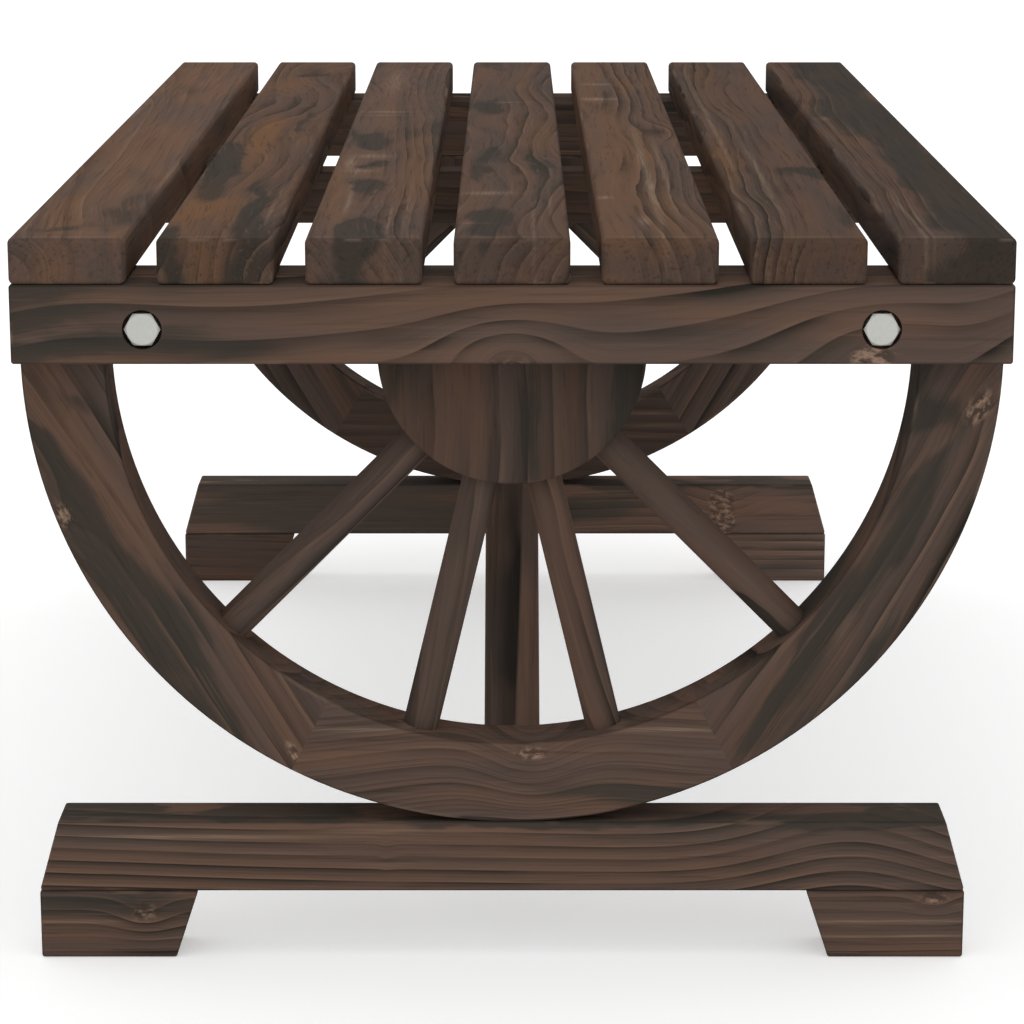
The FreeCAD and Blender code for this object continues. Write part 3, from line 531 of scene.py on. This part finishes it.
# The slats, left to right. A spot's place is (x, y) on the top face
SLAT_LOOKS = (
    dict(
        pith=(29, -20), ring=8, slope=0.03, wave=4, burn=0.3, depth=0.4, fine=0.3, warmth=0.3, tone=0.85,
        lifts=(((-250, 130), 70, 9, -8),),
        smokes_and_shade=(((-226, -412), 15, 17, 0.26), ((-205, -370), 50, 12, 0.12), ((-202, -220), 200, 9, 0.07)),
        glows=(((-246, 120), 60, 1.5, 0.6), ((-194, -200), 60, 1.5, 0.4)),
        calms=(((-205, 0), 2000, 14, 0.6),),
        warms=(((-226, -300), 90, 9, 0.8), ((-221, -465), 25, 60, -0.6)),
    ),
    dict(
        pith=(-60, -35), ring=10, wave=9, burn=0.35, depth=0.85, warmth=0.2, tone=0.73,
        smokes_and_shade=(((-167, -165), 95, 11, 0.6), ((-137, -335), 110, 9, 0.45), ((-150, 345), 14, 17, 0.22),
                ((-154, 148), 12, 15, 0.22), ((-172, 60), 40, 5, 0.25), ((-133, 20), 150, 5, 0.22),
                ((-173, -430), 20, 6, 0.4)),
        glows=(((-126, -330), 90, 1.2, 0.7),),
        calms=(((-163, -340), 100, 14, 1.0), ((-158, 250), 60, 14, 0.9), ((-154, -30), 110, 6, 1.0),
               ((-167, -165), 95, 11, 0.8), ((-147, 380), 130, 30, 0.6), ((-137, -335), 110, 9, 0.5)),
        warms=(((-163, -340), 100, 14, 1.6), ((-158, 250), 60, 14, 1.0), ((-154, -30), 110, 6, 1.8)),
    ),
    dict(
        pith=(60, -35), ring=5.5, wave=7, burn=0.4, depth=0.75, tone=0.78,
        smokes_and_shade=(((-74, 165), 50, 17, 0.25), ((-86, -42), 48, 14, 0.5), ((-80, -262), 62, 10, 0.52),
                ((-79, -412), 38, 12, 0.45), ((-80, -158), 22, 9, 0.45), ((-66, 360), 70, 10, 0.27)),
        glows=(((-80, 110), 4, 16, 0.7), ((-84, 90), 3, 14, 0.5), ((-82, -124), 9, 10, 0.7),
               ((-94, -158), 26, 3, 0.7), ((-86, -190), 9, 8, 0.6), ((-88, -240), 40, 1.5, 0.6),
               ((-87, -320), 40, 1.5, 0.6), ((-55, -350), 80, 1, 0.7), ((-63, -390), 50, 1, 0.7),
               ((-83, 300), 70, 6, 0.5)),
        calms=(((-86, 50), 2000, 12, 1.0),),
        warms=(((-98, -290), 90, 6, 1.3), ((-55, -150), 200, 8, 0.5)),
    ),
    dict(
        pith=(-60, -30), ring=9, wave=8, burn=0.4, depth=0.65, tone=0.72,
        lifts=(((-9, -165), 90, 14, -7), ((12, -330), 60, 8, 6)),
        smokes_and_shade=(((-14, 125), 45, 12, 0.3), ((-14, -368), 36, 13, 0.35), ((-16, -432), 20, 12, 0.24),
                ((14, -165), 85, 7, 0.32), ((-19, -205), 70, 7, 0.36), ((-9, -120), 45, 8, 0.36),
                ((-9, -305), 14, 12, 0.3), ((-9, 375), 70, 9, 0.3)),
        glows=(((-14, -285), 7, 14, 0.8), ((-16, -398), 3, 10, 0.7), ((-5, 168), 3, 16, 0.6),
               ((11, -400), 50, 1.2, 0.8), ((20, -330), 60, 1, 0.5)),
        calms=(((-16, 0), 2000, 15, 0.8), ((10, 300), 150, 20, 0.5)),
        warms=(((15, -40), 70, 8, 1.2), ((8, 220), 120, 6, 0.6)),
    ),
    dict(
        pith=(60, -35), ring=7, slope=0.01, wave=6, burn=0.2, depth=1.0, warmth=0.2, tone=0.73,
        lifts=(((95, 0), 50, 14, -14),),
        smokes_and_shade=(((88, 150), 110, 9, 0.18), ((58, -74), 17, 17, 0.27), ((90, -2), 13, 11, 0.3),
                ((58, 130), 40, 14, 0.15)),
        glows=(((76, -210), 180, 2.4, 1.3), ((60, 285), 7, 12, 0.7), ((60, 188), 8, 12, 1.1),
               ((50, -302), 6, 4, 0.8), ((86, -210), 150, 1.5, 0.7), ((68, -390), 14, 3, 0.9)),
        calms=(((54, 0), 2000, 14, 1.0),),
        warms=(((79, 310), 100, 5, 1.8), ((60, -100), 300, 10, 0.5), ((78, -200), 200, 6, 1.0)),
    ),
    dict(
        pith=(-60, -35), ring=6, slope=0.01, wave=6, burn=0.2, depth=0.9, warmth=0.1, tone=0.64,
        smokes_and_shade=(((166, -202), 26, 24, 0.32), ((164, -310), 140, 16, 0.24),
                ((160, 130), 60, 14, -0.1), ((140, -60), 60, 12, -0.15)),
        glows=(((127, 0), 420, 1.6, 0.8), ((140, -180), 220, 1.6, 0.8), ((120, -330), 90, 1.5, 0.6)),
        calms=(((164, 0), 2000, 17, 1.0),),
        warms=(((125, -100), 200, 6, 1.2), ((135, 380), 60, 10, 0.8)),
    ),
    dict(
        pith=(-60, -40), ring=8, slope=0.01, wave=4, burn=0.3, depth=0.7, fine=0.45, tone=0.67,
        smokes_and_shade=(((234, 0), 2000, 22, 0.55), ((234, -460), 16, 60, -0.08)),
        glows=(((203, 72), 9, 4, 1.2), ((205, -370), 90, 1.2, 0.9), ((209, -390), 60, 0.8, 0.7)),
        calms=(((234, 0), 2000, 18, 0.85), ((221, -455), 25, 60, 1.0)),
        warms=(((203, 0), 400, 8, 0.35),),
    ),
)

# A pale arris across both ends of a slat: length, width and amount of its glow
ARRIS_GLOW = (1.8, 24, 0.5)


def dress_slats():
    """Top slats, each from another board."""
    for index, look in enumerate(SLAT_LOOKS):
        middle = (index - (SLAT_COUNT - 1) / 2) * SLAT_PITCH
        arrises = tuple(((middle, y), *ARRIS_GLOW) for y in (-SLAT_ARRIS, SLAT_ARRIS))
        look = look | {"glows": look["glows"] + arrises}
        for kind in SPOT_KINDS:
            look[kind] = [((*spot, TABLE_TOP), *rest) for spot, *rest in look.get(kind, ())]
        dress_wood(f"slat_{index + 1}", (middle, 0, TABLE_TOP), Y, Z, seed=index + 1, **look)


# What sets a piece of an end apart from its like: knots, burnt zones, painted shade along the foot beams'
# tops, streaks and shades. A spot's place is (x, z) on the face that looks out of the table
END_LOOKS = {
    "front": {
        "rail": dict(
            lifts=(((-2, 331), 31, 18, 31), ((187, 341), 55, 27, 24.1), ((277, 332), 37, 48, 39),
                   ((-228, 351), 71, 51, 13)),
            cores=(((-2, 324), 18, 6, 0.5), ((180, 329), 11, 6, 1.0)),
            smokes_and_shade=(((-250, 340), 34, 34, 0.4), ((-150, 336), 70, 9, 0.2), ((-130, 378), 60, 6, 0.35)),
        ),
        "foot_beam": dict(
            lifts=(((179, 86), 60, 80, 20), ((-66, 58), 4, 8, -1.5)),
            # The smoke spot along the beam's top is painted shade, where the table above shades it
            smokes_and_shade=(((0, 78), 900, 4, 0.45),),
            glows=(((-170, 67), 70, 1.2, 0.8), ((-60, 70), 40, 1.2, 0.5)),
        ),
        "hub": dict(
            smokes_and_shade=(((12, 285), 50, 9, 0.3), ((62, 310), 60, 16, 0.4), ((-66, 325), 30, 8, 0.3)),
            calms=(((-22, 300), 60, 12, 0.8),),
            warms=(((-22, 300), 50, 12, 0.4),),
        ),
        "rim_bottom": dict(
            lifts=(((0, 100), 110, 100, 12), ((10, 112), 26, 30, -16)),
            cores=(((10, 113), 8, 3.5, 1.0),),
            smokes_and_shade=(((60, 95), 60, 7, 0.2),),
            glows=(((-80, 126), 30, 1.2, 0.9), ((80, 126), 30, 1.2, 0.9)),
        ),
        "rim_left": dict(
            warmth=-0.1,
            lifts=(((-229, 238), 24, 10, 8),),
            cores=(((-230, 240), 8, 4.5, 0.8), ((-113, 112), 9, 3, 0.9)),
            smokes_and_shade=(((-247, 285), 24, 6, 0.4), ((-226, 252), 34, 10, 0.35), ((-206, 210), 70, 15, 0.38),
                    ((-166, 164), 50, 10, 0.34), ((-226, 296), 14, 9, 0.3)),
            calms=(((-196, 245), 130, 7, 0.9),),
            warms=(((-200, 250), 120, 7, 0.2),),
        ),
        "rim_right": dict(
            wave=6, warmth=-0.15, tone=0.93,
            lifts=(((238, 295), 24, 12, -8),),
            cores=(((238, 297), 10, 6, 0.9),),
            smokes_and_shade=(((219, 303), 27, 34, 0.45), ((212, 250), 36, 7, 0.28), ((188, 217), 42, 8, 0.3),
                    ((160, 190), 45, 7, 0.25), ((184, 165), 50, 6, 0.3), ((140, 152), 50, 6, 0.25)),
            glows=(((200, 243), 45, 1.6, 0.5), ((176, 188), 55, 1.6, 0.4)),
            calms=(((97, 142), 24, 14, 1.0),),
        ),
        "foot_block_left": dict(
            tone=0.94,
            lifts=(((-194, 24), 16, 12, -8),),
            cores=(((-194, 25), 8, 6, 0.6),),
            glows=(((-225, 20), 30, 1.0, 0.7),),
        ),
        "foot_block_right": dict(
            lifts=(((223, 32), 12, 10, -5),),
            cores=(((223, 33), 7, 3, 1.0),),
            glows=(((205, 20), 60, 1.0, 0.9), ((205, 12), 50, 0.8, 0.6)),
        ),
    },
    "rear": {
        "foot_beam": dict(
            tone=1.22,
            lifts=(((160, 55), 30, 30, 12),),
            cores=(((159, 63), 8, 8, 1.4), ((161, 47), 8, 10, 1.4)),
            # The second smoke spot, along the beam's top, is painted shade under the table; the first is a
            # dark blotch
            smokes_and_shade=(((-90, 56), 160, 60, 0.27), ((0, 78), 900, 4, 0.5)),
            calms=(((-90, 56), 200, 60, 0.7), ((205, 56), 38, 60, 0.9)),
        ),
        "foot_block_left": dict(tone=0.78, calms=(((-205, 18), 80, 60, 0.5),)),
        "foot_block_right": dict(tone=1.43),
        "rim_left": dict(tone=0.77, warmth=-0.3),
        "rim_right": dict(tone=0.85, warmth=-0.3),
        "rim_bottom": dict(
            warmth=-0.6, tone=0.63,
            smokes_and_shade=(((-40, 100), 90, 20, 0.25),),
            glows=(((100, 131), 26, 1.6, 0.6), ((112, 121), 30, 1.6, 0.6), ((95, 113), 30, 1.4, 0.4),
                   ((-110, 120), 30, 2, 0.3)),
            calms=(((0, 110), 300, 100, 0.7),),
        ),
    },
}

# Seeds: each end counts on from its own, and the batten has its own
END_SEEDS = {"front": 20, "rear": 60}
BATTEN_SEED = 90


def dress_end(end, facing):
    """Rail, wheel, feet and strut of one end."""
    seed = END_SEEDS[end]

    def board(part, centre, along, face=Y * facing, **look):
        nonlocal seed
        seed += 1
        look |= END_LOOKS[end].get(part, {})
        for kind in SPOT_KINDS:
            look[kind] = [((x, centre[1], z), *rest) for (x, z), *rest in look.get(kind, ())]
        dress_wood(f"{end}_{part}", centre, along, face, seed=seed, **look)

    y = facing * WHEEL_FACE
    board(
        "rail", (0, facing * RAIL_FACE, RAIL_MIDDLE), X, pith=(187.2, -60), ring=16, slope=0.108, wave=1,
        burn=0.35, depth=1.4, fine=0.15, streaks=0.5, tone=0.96,
    )
    board("wheel_bar", (0, y, RAIL_MIDDLE), X, pith=(150, -40), tone=0.85)
    board(
        "foot_beam", (0, y, BEAM_MIDDLE), X, pith=(199, -60), ring=6.5, slope=-0.019, wave=1.5,
        burn=0.3, depth=1.0, streaks=0.8,
    )
    board(
        "hub", (0, y, HUB_MIDDLE), Z, pith=(-130, -30), ring=18, wave=8,
        burn=0.4, depth=1.0, fine=0.15, streaks=0.6, warmth=-0.25, tone=0.74,
    )
    board(
        "rim_bottom", (0, y, RIM_BOTTOM_MIDDLE), X, pith=(150, -50), ring=9, wave=3,
        burn=0.3, depth=0.95, fine=0.45, streaks=0.7, tone=0.99, wheel=WHEEL_RADII,
    )
    for side, sign in SIDES.items():
        block_x, block_z = BLOCK_MIDDLE
        board(
            f"foot_block_{side}", (sign * block_x, y, block_z), X, pith=(120, -40), ring=7, wave=2,
            burn=0.3, depth=1.0, tone=0.98,
        )
        rim_x, rim_z = RIM_SIDE_MIDDLE
        lean = math.radians(RIM_SIDE_LEAN)
        tangent = Vector((sign * math.sin(lean), 0, math.cos(lean)))
        board(
            f"rim_{side}", (sign * rim_x, y, rim_z), tangent, pith=(-sign * 150, -40), ring=14, wave=4,
            burn=0.3, depth=1.15, streaks=0.6, tone=0.94, wheel=WHEEL_RADII,
        )
    for name, angle in SPOKES.items():
        turn = math.radians(angle)
        down = Vector((math.sin(turn), 0, -math.cos(turn)))
        board(
            f"spoke_{name}", Vector((0, y, WHEEL_CENTRE)) + down * SPOKE_MIDDLE, down, pith=(6, -14), ring=8,
            slope=0.03, wave=6, burn=0.42, fine=0.15, streaks=0.6, warmth=-0.25, tone=0.9,
        )
    strut_y, strut_z = STRUT_MIDDLE
    # On the strut's face one broad band, with its crisp side near the middle, makes the left part much darker
    # than the right
    board(
        "strut", (0, facing * strut_y, strut_z), Vector((0, -facing * STRUT_RUN, STRUT_RISE)), face=X,
        pith=(0, 164), ring=40, wave=1, burn=0.3, depth=1.3, streaks=0.6, warmth=-0.4, tone=1.32,
    )


def dress_batten():
    centre = (0, 0, BATTEN_MIDDLE)
    dress_wood("middle_batten", centre, X, Y * ENDS["front"], pith=(150, -40), tone=0.85, seed=BATTEN_SEED)


def plain(name, color, roughness, metallic):
    """Metal or plain wood with fine specks in its colour, roughness and surface."""
    material, w = new_material(name)
    coordinates = w.node("ShaderNodeTexCoord").outputs["Object"]
    specks = w.noise(w.vector("MULTIPLY", coordinates, (SPECKS_PER_METRE,) * 3), detail=3.0)
    clouds = w.noise(w.vector("MULTIPLY", coordinates, (CLOUDS_PER_METRE,) * 3), detail=2.0)
    mottle = w.add(w.times(specks, SPECK_SHARE), w.times(clouds, CLOUD_SHARE))
    shade = w.between(mottle, *CLOUD_LEVELS, *CLOUD_SHADES, smooth=False)
    bump = w.node("ShaderNodeBump", Height=specks, **SPECK_RELIEF)
    smoother, rougher = roughness - CLOUD_ROUGHNESS, roughness + CLOUD_ROUGHNESS
    shader = w.node(
        "ShaderNodeBsdfPrincipled", Base_Color=w.scaled(color[:3], shade), Metallic=metallic,
        Roughness=w.between(clouds, *CLOUD_LEVELS, smoother, rougher), Normal=bump.outputs[0],
    )
    w.node("ShaderNodeOutputMaterial", Surface=shader.outputs[0])
    return material


def dress_fasteners():
    zinc = plain("zinc", srgb(196, 196, 190), roughness=0.5, metallic=0.6)
    for node in ("rail_bolts", "rail_bolt_washers", "rail_bolt_nuts"):
        dress(node, zinc)
    steel = plain("screw_steel", srgb(150, 148, 142), roughness=0.4, metallic=1.0)
    for node in ("slat_screws", "foot_block_screws", "rim_screws", "strut_screws"):
        dress(node, steel)
    beech = plain("dowel_wood", srgb(190, 160, 120), roughness=0.6, metallic=0.0)
    for end in ENDS:
        dress(f"{end}_bar_dowels", beech)
        dress(f"{end}_lap_dowels", beech)


def seen_directly(w):
    """1 for rays from the camera, and for what mirrors and glass show."""
    rays = w.node("ShaderNodeLightPath").outputs
    either = w.math("MAXIMUM", rays["Is Camera Ray"], rays["Is Glossy Ray"])
    return w.math("MAXIMUM", either, rays["Is Transmission Ray"])


def make_floor():
    """Pale floor that keeps the table's soft shadow and shows almost white."""
    mesh = bpy.data.meshes.new("floor")
    corners = [(x * FLOOR_REACH, y * FLOOR_REACH, 0) for x, y in ((-1, -1), (1, -1), (1, 1), (-1, 1))]
    mesh.from_pydata(corners, [], [(0, 1, 2, 3)])
    floor = bpy.data.objects.new("floor", mesh)
    floor.location.z = -FLOOR_DROP
    bpy.context.scene.collection.objects.link(floor)
    material, w = new_material("floor")
    shader = w.node(
        "ShaderNodeBsdfPrincipled", Base_Color=FLOOR_COLOR, Roughness=FLOOR_ROUGHNESS, Specular_IOR_Level=0.0,
        Emission_Color=WHITE, Emission_Strength=w.times(seen_directly(w), FLOOR_GLOW),
    )
    w.node("ShaderNodeOutputMaterial", Surface=shader.outputs[0])
    mesh.materials.append(material)


def make_world():
    """Even studio light, with white behind the table."""
    world = bpy.data.worlds.new("studio")
    bpy.context.scene.world = world
    world.use_nodes = True
    world.node_tree.nodes.clear()
    w = Wires(world.node_tree)
    strength = w.between(seen_directly(w), 0.0, 1.0, SKY_LIGHT, SKY_SEEN, smooth=False)
    background = w.node("ShaderNodeBackground", Color=WHITE, Strength=strength)
    w.node("ShaderNodeOutputWorld", Surface=background.outputs[0])


def make_lamp():
    lamp = bpy.data.lights.new("soft_top_light", "SUN")
    lamp.angle = math.radians(LAMP_SPREAD)
    lamp.energy = LAMP_STRENGTH
    holder = bpy.data.objects.new("soft_top_light", lamp)
    holder.rotation_euler = Vector(LAMP_DIRECTION).to_track_quat("-Z", "Y").to_euler()
    bpy.context.scene.collection.objects.link(holder)


def make_camera():
    camera = bpy.data.cameras.new("camera")
    camera.lens = CAMERA_LENS
    camera.sensor_width = CAMERA_FILM
    holder = bpy.data.objects.new("camera", camera)
    holder.location = CAMERA_PLACE
    holder.rotation_euler = (math.radians(90 - CAMERA_PITCH), 0, 0)
    bpy.context.scene.collection.objects.link(holder)
    bpy.context.scene.camera = holder


make_camera()
dress_slats()
for end, facing in ENDS.items():
    dress_end(end, facing)
dress_batten()
dress_fasteners()
make_floor()
make_world()
make_lamp()
bpy.context.scene.view_settings.view_transform = "Standard"
